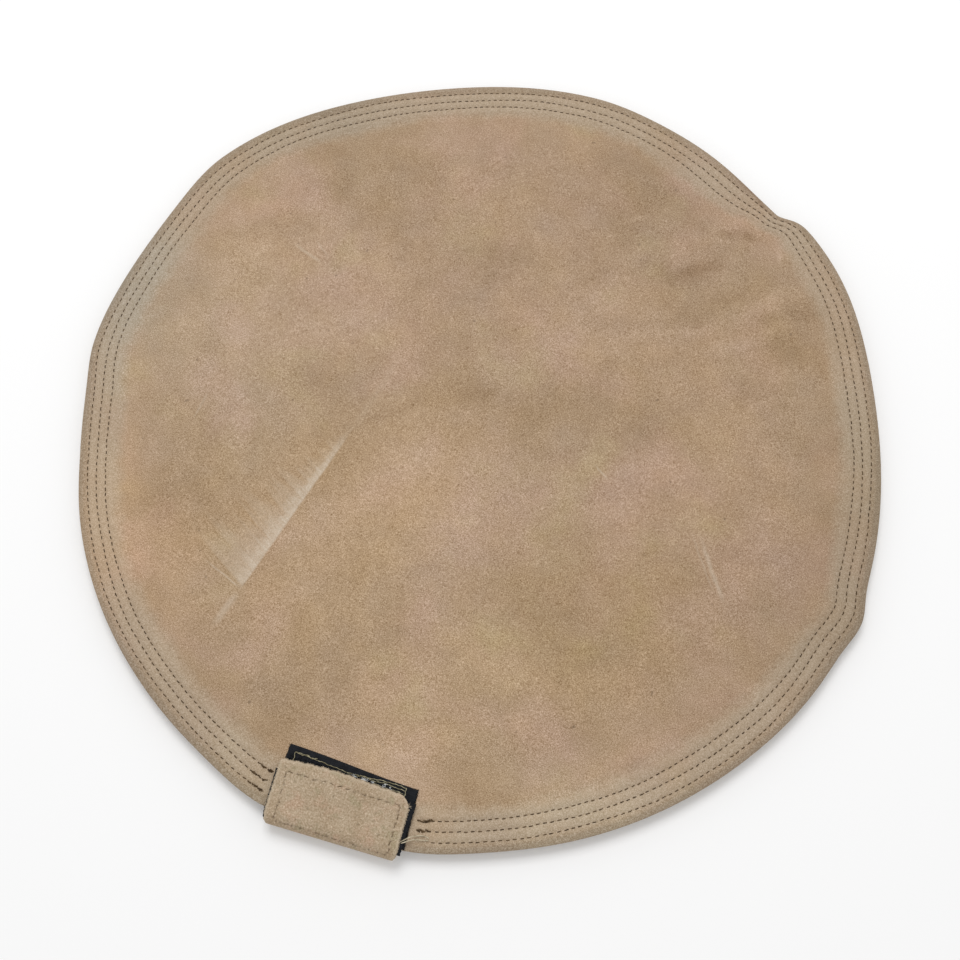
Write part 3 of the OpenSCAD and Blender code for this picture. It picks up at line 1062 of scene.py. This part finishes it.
STRIP_ARC = math.pi / 2 * BEND_R
STRIP_WALL = FLAP_TOP - 2 * BEND_R
STRIP_SPLIT = ROOT_END - BEND_R + STRIP_ARC + STRIP_WALL / 2
STRIP_TOP_START = ROOT_END - BEND_R + 2 * STRIP_ARC + FLAP_TOP - 2 * BEND_R


def strip_section(s):
    """The closed flap's outer side, seen from its end: v, z and how far it has turned, at the
    length s from the root's inner end. The fold bulges a little past a true half-round."""
    low_start = ROOT_END - BEND_R
    wall_start = low_start + STRIP_ARC
    high_start = wall_start + STRIP_WALL
    low = np.clip((s - low_start) / STRIP_ARC, 0, 1) * math.pi / 2
    high = np.clip((s - high_start) / STRIP_ARC, 0, 1) * math.pi / 2
    v = ROOT_END - np.minimum(s, low_start) - BEND_R * np.sin(low)
    z = BEND_R * (1 - np.cos(low)) + np.clip(s - wall_start, 0, STRIP_WALL)
    v = v + BEND_R * (1 - np.cos(high)) + np.maximum(s - high_start - STRIP_ARC, 0)
    z = z + BEND_R * np.sin(high)
    turn = low + high
    v = v - FOLD_BULGE * np.sin(turn) ** 2
    return v, z, turn


SEAM_LOW = np.array([-29.2, 1.6])
SEAM_HIGH = np.array([31.0, 26.4])
SEAM_PITCH = 4.4


def seam_stitches():
    """Middle and direction of every stitch round the flap's rectangle, in u and w."""
    low_right = (SEAM_HIGH[0], SEAM_LOW[1] - 0.9)
    high_left = (SEAM_LOW[0] - 0.6, SEAM_HIGH[1] - 0.2)
    corners = [SEAM_LOW, low_right, SEAM_HIGH - (0.4, 0.9), high_left]
    draw = np.random.default_rng(30)
    spots = []
    for a, b in zip(corners, corners[1:] + corners[:1]):
        run = np.subtract(b, a)
        count = round(math.hypot(*run) / SEAM_PITCH)
        for i in range(count):
            share = (i + 0.5 + draw.normal(0, 0.06)) / count
            middle = np.array(a) + run * share + draw.normal(0, 0.16, 2)
            spots.append((*middle, math.atan2(run[1], run[0]) + draw.normal(0, 0.16)))
    return np.array(spots)


NEAR_EDGE = np.array([0.0, 0.1, 0.3, 0.55, 0.8, 1.2])  # grid lines that round an edge off


def steps_from_edge(total, fine):
    """Grid lines across a strip: close together at both edges and fine apart between."""
    first = 1.7
    inner = np.linspace(first, total - first, round((total - 2 * first) / fine))
    return np.concatenate([NEAR_EDGE, inner, (total - NEAR_EDGE)[::-1]])


def strip_grid(lengths):
    """Outer points, turn, length and edge distance of the strip at the given lengths."""
    width = 2 * FLAP_HALF_W
    share = steps_from_edge(width, 0.62) / width
    s = np.asarray(lengths)[:, None] + 0 * share
    v, z, turn = strip_section(s)
    on_top = np.maximum(s - STRIP_TOP_START, 0)
    side_v = np.where(z > LEATHER + 1, np.maximum(v, 0), 0)
    soft_end = 1.5 * hill(turn, 1.45, 0.55)
    left = flap_left(side_v) + corner_cut(on_top + BEND_R, FLAP_L, 1.8) + soft_end
    left = left - 0.9 * ease(turn, 0.6, 1.6) * (1 - ease(on_top, 0, 18))
    left = left + 0.16 * np.sin(s * 1.9) + 0.12 * np.sin(s * 4.7 + 1)
    right = flap_right(side_v) - corner_cut(on_top + BEND_R, FLAP_L, 7.5) - soft_end
    right = right + 0.14 * np.sin(s * 2.3 + 2) + 0.10 * np.sin(s * 5.1)
    u = left + share * (right - left)
    reach = (free_edge(u) - BEND_R) / (FLAP_L - BEND_R)
    v = np.where(on_top > 0, BEND_R + (v - BEND_R) * reach, v)
    end_off = np.where(on_top > 0, FLAP_L - BEND_R - on_top, width)
    edge_off = np.minimum(np.minimum(share, 1 - share) * width, end_off)
    return u, v, z, turn, s, edge_off


def droop(u, v):
    """The flap sinks a little past the hook tape's edges, and its far corner curls up."""
    sink = 0.65 * ease(v, 27.5, FLAP_L) + 0.30 * ease(-u, 29, 35) + 0.12 * (1 + soft_noise(u, v, 26, 8, 6))
    curl = 1.1 * ease(u, 24, 36) * ease(v, 20, 30)
    return np.clip(sink - curl, -0.4, 1.2) * ease(v, 3.5, 9)


def on_leather(u, w, depth, sunk=True):
    """A point at a depth under the flap's outer side. w runs along the leather and equals v on
    the flat part."""
    v, z, turn = strip_section(STRIP_TOP_START - BEND_R + np.minimum(w, BEND_R))
    v = v + np.maximum(w - BEND_R, 0)
    z = z - (droop(u, v) if sunk else 0)
    return from_flap(u, v + depth * np.sin(turn), z + depth * np.cos(turn))


def needle_holes(u, w):
    """How deep the leather is round each hole of the flap's seam, and how strong the painted shade there
    is, from 0 to 1.
    """
    total = np.zeros_like(u)
    for mid_u, mid_w, turn in seam_stitches():
        for end in (-1.05, 1.05):
            off = np.hypot(u - mid_u - end * math.cos(turn), w - mid_w - end * math.sin(turn))
            strength = 0.65 + 0.35 * math.sin(3.1 * mid_u + 5.7 * mid_w + end)
            total = np.maximum(total, strength * np.exp(-((off / 0.45) ** 2)))
    return total


def strip_piece(name, lengths, cut_row):
    u, v, z, turn, s, edge_off = strip_grid(lengths)
    w = np.where(s > STRIP_TOP_START, v, s - STRIP_TOP_START + BEND_R)
    upper = s > STRIP_SPLIT
    sink = np.where(upper, droop(u, v), 0)
    holes = np.where(upper, needle_holes(u, w), 0)
    outer = from_flap(u, v, z - sink - 0.30 * holes)
    into = np.sin(turn)
    inward = np.stack([-into * math.sin(SKEW), into * math.cos(SKEW), np.cos(turn)], -1)
    obj, source = sheet_mesh(name, outer, inward, LEATHER, edge_off, (cut_row,))
    set_values(obj, "edge_off", edge_off.ravel()[source] / MM)
    # painted shade for the needle holes, read by the flap's material
    set_values(obj, "hole_shade", holes.ravel()[source])
    uv = np.stack([u.ravel()[source], s.ravel()[source]], -1) / MM
    layer = obj.data.uv_layers.new(name="strip")
    corner = np.zeros(len(obj.data.loops), int)
    obj.data.loops.foreach_get("vertex_index", corner)
    layer.data.foreach_set("uv", uv[corner].ravel())
    return obj


def add_flap():
    flat_root = np.arange(2.0, ROOT_END - BEND_R, 1.1)
    lower_bend = np.linspace(ROOT_END - BEND_R, STRIP_SPLIT, 22)
    upper_bend = np.linspace(STRIP_SPLIT, STRIP_TOP_START, 22)
    end = STRIP_TOP_START + FLAP_L - BEND_R
    flat_flap = np.arange(STRIP_TOP_START + 0.5, end - 1.6, 0.5)
    root_lengths = np.concatenate([NEAR_EDGE, flat_root, lower_bend])
    flap_lengths = np.concatenate([upper_bend, flat_flap, (end - NEAR_EDGE)[::-1]])
    root = strip_piece("flap_root_leather", root_lengths, -1)
    skive_root(root)
    finish_piece(root, "flap", None, "flap_suede", "flap_root", "flap_fold")
    flap = strip_piece("closure_flap_leather", flap_lengths, 0)
    finish_piece(flap, "flap", None, "flap_suede", "closure_flap")
    point(0, BEND_R, 1.1)
    point(0, -0.9, 6.4)
    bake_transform(root)
    bend_with_flap(flap)


def point(u, v, z):
    """A point of the flap's frame, in metres."""
    return tuple(from_flap(u, v, z) / MM)


def bend_with_flap(obj):
    """Bakes a piece's placement into its mesh. The two points of the flap's frame that it works out are
    not used.
    """
    point(0, -0.9, 7.3)
    point(0, 5.4, FLAP_TOP - 1.1)
    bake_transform(obj)


def skive_root(obj):
    """Thins the root from below where it lies on the back panel's lip."""
    co = np.array([v.co for v in obj.data.vertices]) * MM
    angle = np.degrees(np.arctan2(co[:, 1], co[:, 0])) % 360
    r = np.hypot(co[:, 0], co[:, 1])
    inside = 1 - ease(r - rim_radius(angle), -0.1, 0.9)
    base = SKIVED + 0.04
    low = np.where(co[:, 2] < LEATHER + 0.1, base + co[:, 2] * (LEATHER - base) / LEATHER, co[:, 2])
    co[:, 2] += inside * (low - co[:, 2])
    obj.data.vertices.foreach_set("co", (co / MM).ravel())
    obj.data.update()


def add_flap_stitches():
    draw = np.random.default_rng(31)
    mid_u, mid_w, turn = (column[:, None] for column in seam_stitches().T)
    u = mid_u + 1.15 * SPAN * np.cos(turn)
    w = mid_w + 1.15 * SPAN * np.sin(turn)
    depth = draw.uniform(-0.04, 0.22, turn.shape) + 0.55 * np.abs(SPAN) ** 3
    depth = depth + np.where(mid_w < 3, 0.13, 0.0)
    paths = on_leather(u, w, depth)
    node = "flap_hook_tape_thread"
    bend_with_flap(add_thread("flap_stitches", paths, 0.32, "brown_soft", None, node, lobe=0.16))


def add_root_stitches():
    """Two rows that hold the root inside the mouth."""
    draw = np.random.default_rng(32)
    rows = []
    for v_mid in (11.5, 22.5):
        mid = np.arange(-FLAP_HALF_W + 6, FLAP_HALF_W - 5, 3.6)[:, None]
        u = mid + 1.25 * SPAN
        v = v_mid + draw.normal(0, 0.12, mid.shape) + 0 * u
        z = LEATHER - 0.10 + 0.18 * (1 - np.abs(SPAN) ** 2.6) - 0.4 * np.abs(SPAN) ** 4 + 0 * u
        rows.append(from_flap(u, v, z))
    add_thread("flap_root_stitches", np.concatenate(rows), 0.4, "brown", "shell", "flap_root_thread")


def add_fibres(name, paths, radius, look, body, slot):
    """A thin plain tube along every path."""
    return finish_piece(tubes(name, paths, radius, 4), look, body, slot)


def hairs(roots, headings, length, lift, radius, draw):
    """Short curved fibres from the given roots, each headed its own way in the plane."""
    each = (len(roots), 1)
    q = np.linspace(0, 1, 5)
    reach = draw.uniform(0.35, 1.0, each) * length
    turn = headings[:, None] + q * draw.normal(0, 0.9, each)
    x = roots[:, :1] + q * reach * np.cos(turn)
    y = roots[:, 1:2] + q * reach * np.sin(turn)
    z = roots[:, 2:] + q * reach * draw.uniform(-lift, lift, each)
    return np.stack([x, y, z], -1), radius * (1 - 0.7 * q) + np.zeros(each)


def edge_fibre(draw):
    """Root and heading of one loose fibre on a raw edge of the flap."""
    side = draw.choice(3, p=[0.24, 0.24, 0.52])
    v = draw.uniform(3.0, 29.0)
    depth = draw.uniform(0.15, 1.9)
    if side == 0:
        u, turn = flap_left(v) + 0.12 - 0.9 * (1 - ease(v - BEND_R, 0, 18)), math.pi
    elif side == 1:
        v = min(v, 24.5)
        u, turn = flap_right(v) - 0.15, 0.0
    else:
        u = draw.uniform(-34, 28.5)
        v, turn = free_edge(u) - 0.1, math.pi / 2
    return on_leather(u, v, depth), turn + SKEW + draw.normal(0, 0.7)


def edge_fuzz():
    """Loose fibres along the flap's raw edges, with a small fray at its far corner."""
    draw = np.random.default_rng(33)
    loose, frayed = 1500, 26
    fibres = [edge_fibre(draw) for _ in range(loose)]
    fray_at = from_flap(34.2, 26.2, FLAP_TOP - 0.7)
    for _ in range(frayed):
        root = fray_at + draw.normal(0, 0.45, 3)
        fibres.append((root, draw.uniform(-0.6, 1.3)))
    roots, headings = zip(*fibres)
    paths, radius = hairs(np.array(roots), np.array(headings), 0.85, 0.3, 0.055, draw)
    paths[-frayed:, :, :2] += (paths[-frayed:, :, :2] - paths[-frayed:, :1, :2]) * 1.2
    bend_with_flap(add_fibres("flap_edge_fibres", paths, radius, "fuzz", None, "flap_suede"))


# ---------------------------------------------------------------- hook tape and loop tape
def web_mesh(name, xyz, thickness, rough, seed):
    """A tape's woven web. xyz maps a share across and a share along to points on the side that
    faces up in the closed flap, at a given depth in the web."""
    a = np.linspace(0, 1, 141)[None, :]
    b = np.linspace(0, 1, 61)[:, None]
    top, width, depth = xyz(a, b, 0.0)
    under = xyz(a, b, 1.0)[0]
    edge = np.minimum(np.minimum(a, 1 - a) * width, np.minimum(b, 1 - b) * depth)
    wear = rough * soft_noise(top[..., 0], top[..., 1], 4.0, seed, 10)
    inward = under - top
    return sheet_mesh(name, top - inward * wear[..., None], inward, thickness, edge)[0]


HOOK_LEFT, HOOK_RIGHT = -36.1, 37.9
HOOK_FRONT, HOOK_BACK = -0.4, 28.3
HOOK_SLANT = 2.2  # how much nearer the fold its left end is sewn
HOOK_WEB = 0.5


def add_hook_tape():
    width, depth = HOOK_RIGHT - HOOK_LEFT, HOOK_BACK - HOOK_FRONT

    def on_flap(a, b, under):
        right = HOOK_RIGHT - 1.0 * (1 - b) + 0.12 * np.sin(b * 61) + 0.08 * np.sin(b * 149)
        left = HOOK_LEFT + 0.7 * (1 - b) + 0.10 * np.sin(b * 57)
        u = left + a * (right - left)
        w = HOOK_FRONT + b * depth - HOOK_SLANT * (1 - a)
        return on_leather(u, w, LEATHER + 0.03 + under, sunk=False), width, depth

    web = web_mesh("hook_tape_web", on_flap, HOOK_WEB, 0.02, 42)
    finish_piece(web, "hook", None, "hook_tape", "flap_hook_tape")
    bend_with_flap(web)


def add_hooks():
    """The hook tape's rows of moulded hooks, each curled one way or the other."""
    draw = np.random.default_rng(41)
    across = np.arange(HOOK_LEFT + 1.2, HOOK_RIGHT - 1.2, 1.45)
    u, w = np.meshgrid(across, np.arange(HOOK_FRONT + 2, HOOK_BACK - 1.8, 1.5))
    u = u.ravel()[:, None] + draw.normal(0, 0.08, (u.size, 1))
    w = w.ravel()[:, None] + draw.normal(0, 0.08, (w.size, 1))
    w = w - HOOK_SLANT * (HOOK_RIGHT - u) / (HOOK_RIGHT - HOOK_LEFT)
    q = np.linspace(0, 1, 7)
    lean = np.where(draw.random((len(u), 1)) < 0.5, 1, -1)
    curl = q * 1.5 * math.pi
    tall = HOOK_HIGH_Z - HOOK_WEB - HOOK_LOW_Z - 0.12
    du = lean * 0.28 * (1 - np.cos(curl))
    rise = np.where(q < 0.66, np.sin(0.75 * curl), 0.62 + 0.4 * np.cos((q - 0.66) * 4))
    rise = np.clip(tall * rise, 0, tall)
    base = LEATHER + HOOK_WEB - 0.05
    paths = on_leather(u + du, w + 0 * q, base + rise, sunk=False)
    bend_with_flap(add_fibres("hook_tape_hooks", paths, 0.09, "hook", None, "hook_tape"))


LOOP_WEB = 0.75
LOOP_HALF_L = 35.0
LOOP_RIGHT_TOP = 35.3


def loop_point(across, up, z):
    """A point of the loop tape, in millimetres from its middle."""
    mid_x = LOOP_LOW[0] + LOOP_HALF_L
    mid_y = (LOOP_LOW[1] + LOOP_HIGH[1]) / 2
    return np.stack(np.broadcast_arrays(mid_x + across, mid_y + up, z), -1).astype(float)


def add_loop_tape():
    draw = np.random.default_rng(43)
    half_w = (LOOP_HIGH[1] - LOOP_LOW[1]) / 2
    top_z = FACE_Z + LOOP_WEB

    def on_face(a, b, under):
        up = -half_w + 2 * half_w * b
        right = LOOP_RIGHT_TOP - 0.3 + 3.0 * (1 - b) + 0.16 * np.sin(b * 47) + 0.12 * np.sin(b * 131)
        left = -LOOP_HALF_L + 0.15 * np.sin(b * 53) + 0.10 * np.sin(b * 121)
        across = left + a * (right - left)
        bow = 0.35 * np.sin(a * 5.0 + 0.6) * ease(b, 0.6, 1.0)
        lift = 0.5 * ease(a, 0.95, 1.0) * ease(b, 0.85, 1.0)
        z = top_z + lift + 0.12 * np.sin(a * 17) * b - under
        return loop_point(across, up + bow, z), 2 * LOOP_HALF_L, 2 * half_w

    web = web_mesh("loop_tape_web", on_face, LOOP_WEB - 0.03, 0.03, 44)
    finish_piece(web, "loop", "shell", "loop_tape", "face_loop_tape")
    add_loop_pile(draw, half_w, top_z)
    add_loop_fray(draw, half_w, top_z)


def add_loop_pile(draw, half_w, top_z):
    """Soft loops that cover the tape between its two plain selvedges."""
    count = 3600
    across = draw.uniform(-33.5, 27.8, count)[:, None]
    up = draw.uniform(-half_w + 3.5, half_w - 4.6, count)[:, None]
    q = np.linspace(0, 1, 7)
    size = draw.uniform(0.35, 0.75, (count, 1))
    turn = draw.uniform(0, 2 * math.pi, (count, 1))
    bow = draw.normal(0, 0.25, (count, 1)) * np.sin(q * math.pi)
    along = size * (q - 0.5) * 1.6
    x = across + along * np.cos(turn) - bow * np.sin(turn)
    y = up + along * np.sin(turn) + bow * np.cos(turn)
    z = top_z - 0.05 + draw.uniform(0.3, 0.62, (count, 1)) * np.sin(q * math.pi)
    add_fibres("loop_tape_pile", loop_point(x, y, z), 0.075, "pile", "shell", "loop_tape")


def add_loop_fray(draw, half_w, top_z):
    """Cut warp ends at the tape's right end, and a few at its left one."""
    count = 260
    b = draw.uniform(0, 1, count)
    right_end = draw.random(count) < 0.8
    across = np.where(right_end, LOOP_RIGHT_TOP - 0.4 + 3.0 * (1 - b), -34.9)
    deep = draw.uniform(0.05, LOOP_WEB - 0.1, count)
    roots = loop_point(across, -half_w + 2 * half_w * b, top_z - deep)
    headings = np.where(right_end, 0.0, math.pi) + draw.normal(0, 0.5, count)
    paths, radius = hairs(roots, headings, 0.9, 0.35, 0.07, draw)
    add_fibres("loop_tape_fray", paths, radius, "pile", "shell", "loop_tape")


def polyline(points, count):
    """count points spaced evenly along a line through the given points."""
    points = np.array(points, float)
    steps = np.hypot(*np.diff(points, axis=0).T)
    at = np.concatenate([[0], np.cumsum(steps)])
    want = np.linspace(0, at[-1], count)
    return np.stack([np.interp(want, at, points[:, i]) for i in range(2)], 1)


KHAKI_PITCH = 3.2
# Lines of the khaki seam on the loop tape, in millimetres from the tape's middle
KHAKI_LINES = (
    ((-30.4, 8.7), (-31.2, 11.6), (-30.3, 12.7), (-25.5, 11.9), (-16.3, 11.8), (-3.8, 11.1), (4.0, 11.6)),
    ((-30.0, 12.2), (-28.0, 11.2), (-25.0, 12.6), (-22.0, 11.5), (-19.0, 12.3)),
    ((3.0, 11.2), (6.5, 12.1), (16.0, 13.0), (27.8, 14.0), (28.7, 13.4)),
    ((4.5, 11.9), (11.2, 11.6), (20.0, 12.1), (29.1, 12.3)),
    ((12.0, 10.6), (16.7, 9.9), (22.0, 10.6), (28.6, 10.4)),
    ((28.7, 14.0), (29.3, 9.5), (29.2, -10.8), (-30.4, -10.8), (-30.6, 9.0)),
)


def khaki_stitch(a, b, draw):
    """The path of one short stitch between two points on the loop tape."""
    mid, run = (a + b) / 2, (b - a) / 2 * 0.98
    wave = 0.13 * np.sin(SPAN * math.pi) * draw.choice([-1, 1])
    normal = np.array([-run[1], run[0]]) / (math.hypot(*run) + 1e-9)
    flat = mid + SPAN[:, None] * run + wave[:, None] * normal
    z = FACE_Z + LOOP_WEB + 0.42 - 0.38 * np.abs(SPAN) ** 3 + draw.uniform(-0.05, 0.1)
    return loop_point(flat[:, 0], flat[:, 1], z)


def add_khaki_seam():
    """Uneven lock stitches: each line is a chain of short stitches that dip at their ends."""
    draw = np.random.default_rng(45)
    paths = []
    for line in KHAKI_LINES:
        length = np.hypot(*np.diff(np.array(line), axis=0).T).sum()
        ends = polyline(line, max(2, round(length / KHAKI_PITCH)) + 1)
        ends = ends + draw.normal(0, 0.13, ends.shape)
        paths += [khaki_stitch(a, b, draw) for a, b in zip(ends, ends[1:])]
    node = "face_loop_tape_thread"
    add_thread("loop_tape_stitches", paths, 0.27, "khaki", "shell", node, lobe=0.18)


def add_lint():
    """A few pale fibres caught in the loop pile."""
    draw = np.random.default_rng(46)
    count = 126
    spots = [(1.4, 10.2), (7.0, 10.3), (6.0, 9.9), (7.6, 10.1), (8.6, 10.9), (2.1, 10.7), (17.4, 10.3)]
    spots += [(18.3, 11.4), (21.3, 10.6), (11.5, 10.6), (7.2, 10.1), (6.6, 10.4), (1.6, 10.0), (7.9, 10.5)]
    at = np.array([spots[i % len(spots)] for i in range(count)]) + draw.normal(0, 0.34, (count, 2))
    roots = loop_point(at[:, 0], at[:, 1], FACE_Z + LOOP_WEB + 0.72)
    paths, radius = hairs(roots, draw.uniform(0, 2 * math.pi, count), 1.2, 0.15, 0.12, draw)
    add_fibres("loop_tape_lint", paths, radius, "lint", "shell", "loop_tape")


def add_thread_tails():
    """Two cut thread ends, from where the outer row stops to the flap's edge."""
    routes = (
        ((48.2, -217.2, 0.0), (46.0, -216.9, 0.5), (43.5, -217.4, 0.8), (41.2, -218.6, 1.5),
         (38.9, -219.9, 2.6), (36.8, -222.0, 2.9), (35.4, -223.4, 2.7)),
        ((48.4, -218.3, 0.0), (45.9, -218.9, 0.5), (43.6, -219.5, 0.9), (41.4, -220.2, 1.6),
         (39.2, -221.5, 2.6), (37.4, -222.9, 2.9), (35.9, -223.9, 2.7)),
    )
    paths = []
    for route in routes:
        points = np.array(route) + (0, 0, FACE_Z + 0.3)
        t = np.linspace(0, len(points) - 1, 28)
        paths.append(np.stack([smooth_through(points[:, i], t) for i in range(3)], 1))
    look = "khaki_pale"
    add_thread("thread_tail_ends", paths, 0.31, look, "shell", "thread_tails", lobe=0.2, twist=0.6)


def smooth_through(values, t):
    """A smooth curve through evenly spaced values, read at t (Catmull-Rom)."""
    i = np.clip(t.astype(int), 0, len(values) - 2)
    f = t - i
    ahead = lambda n: values[np.clip(i + n, 0, len(values) - 1)]
    a, b, c, d = ahead(-1), ahead(0), ahead(1), ahead(2)
    return b + 0.5 * f * (c - a + f * (2 * a - 5 * b + 4 * c - d + f * (3 * (b - c) + d - a)))


add_camera()
add_studio()
add_panels()
add_rows()
add_rim_seam()
add_hook_tape()
add_hooks()
add_flap()
add_flap_stitches()
add_root_stitches()
edge_fuzz()
add_loop_tape()
add_khaki_seam()
add_lint()
add_thread_tails()

plain = lambda bounds: [[float(x) for x in corner] for corner in bounds]
{"cad": plain(cad_bounds), "visual": plain(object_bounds())}
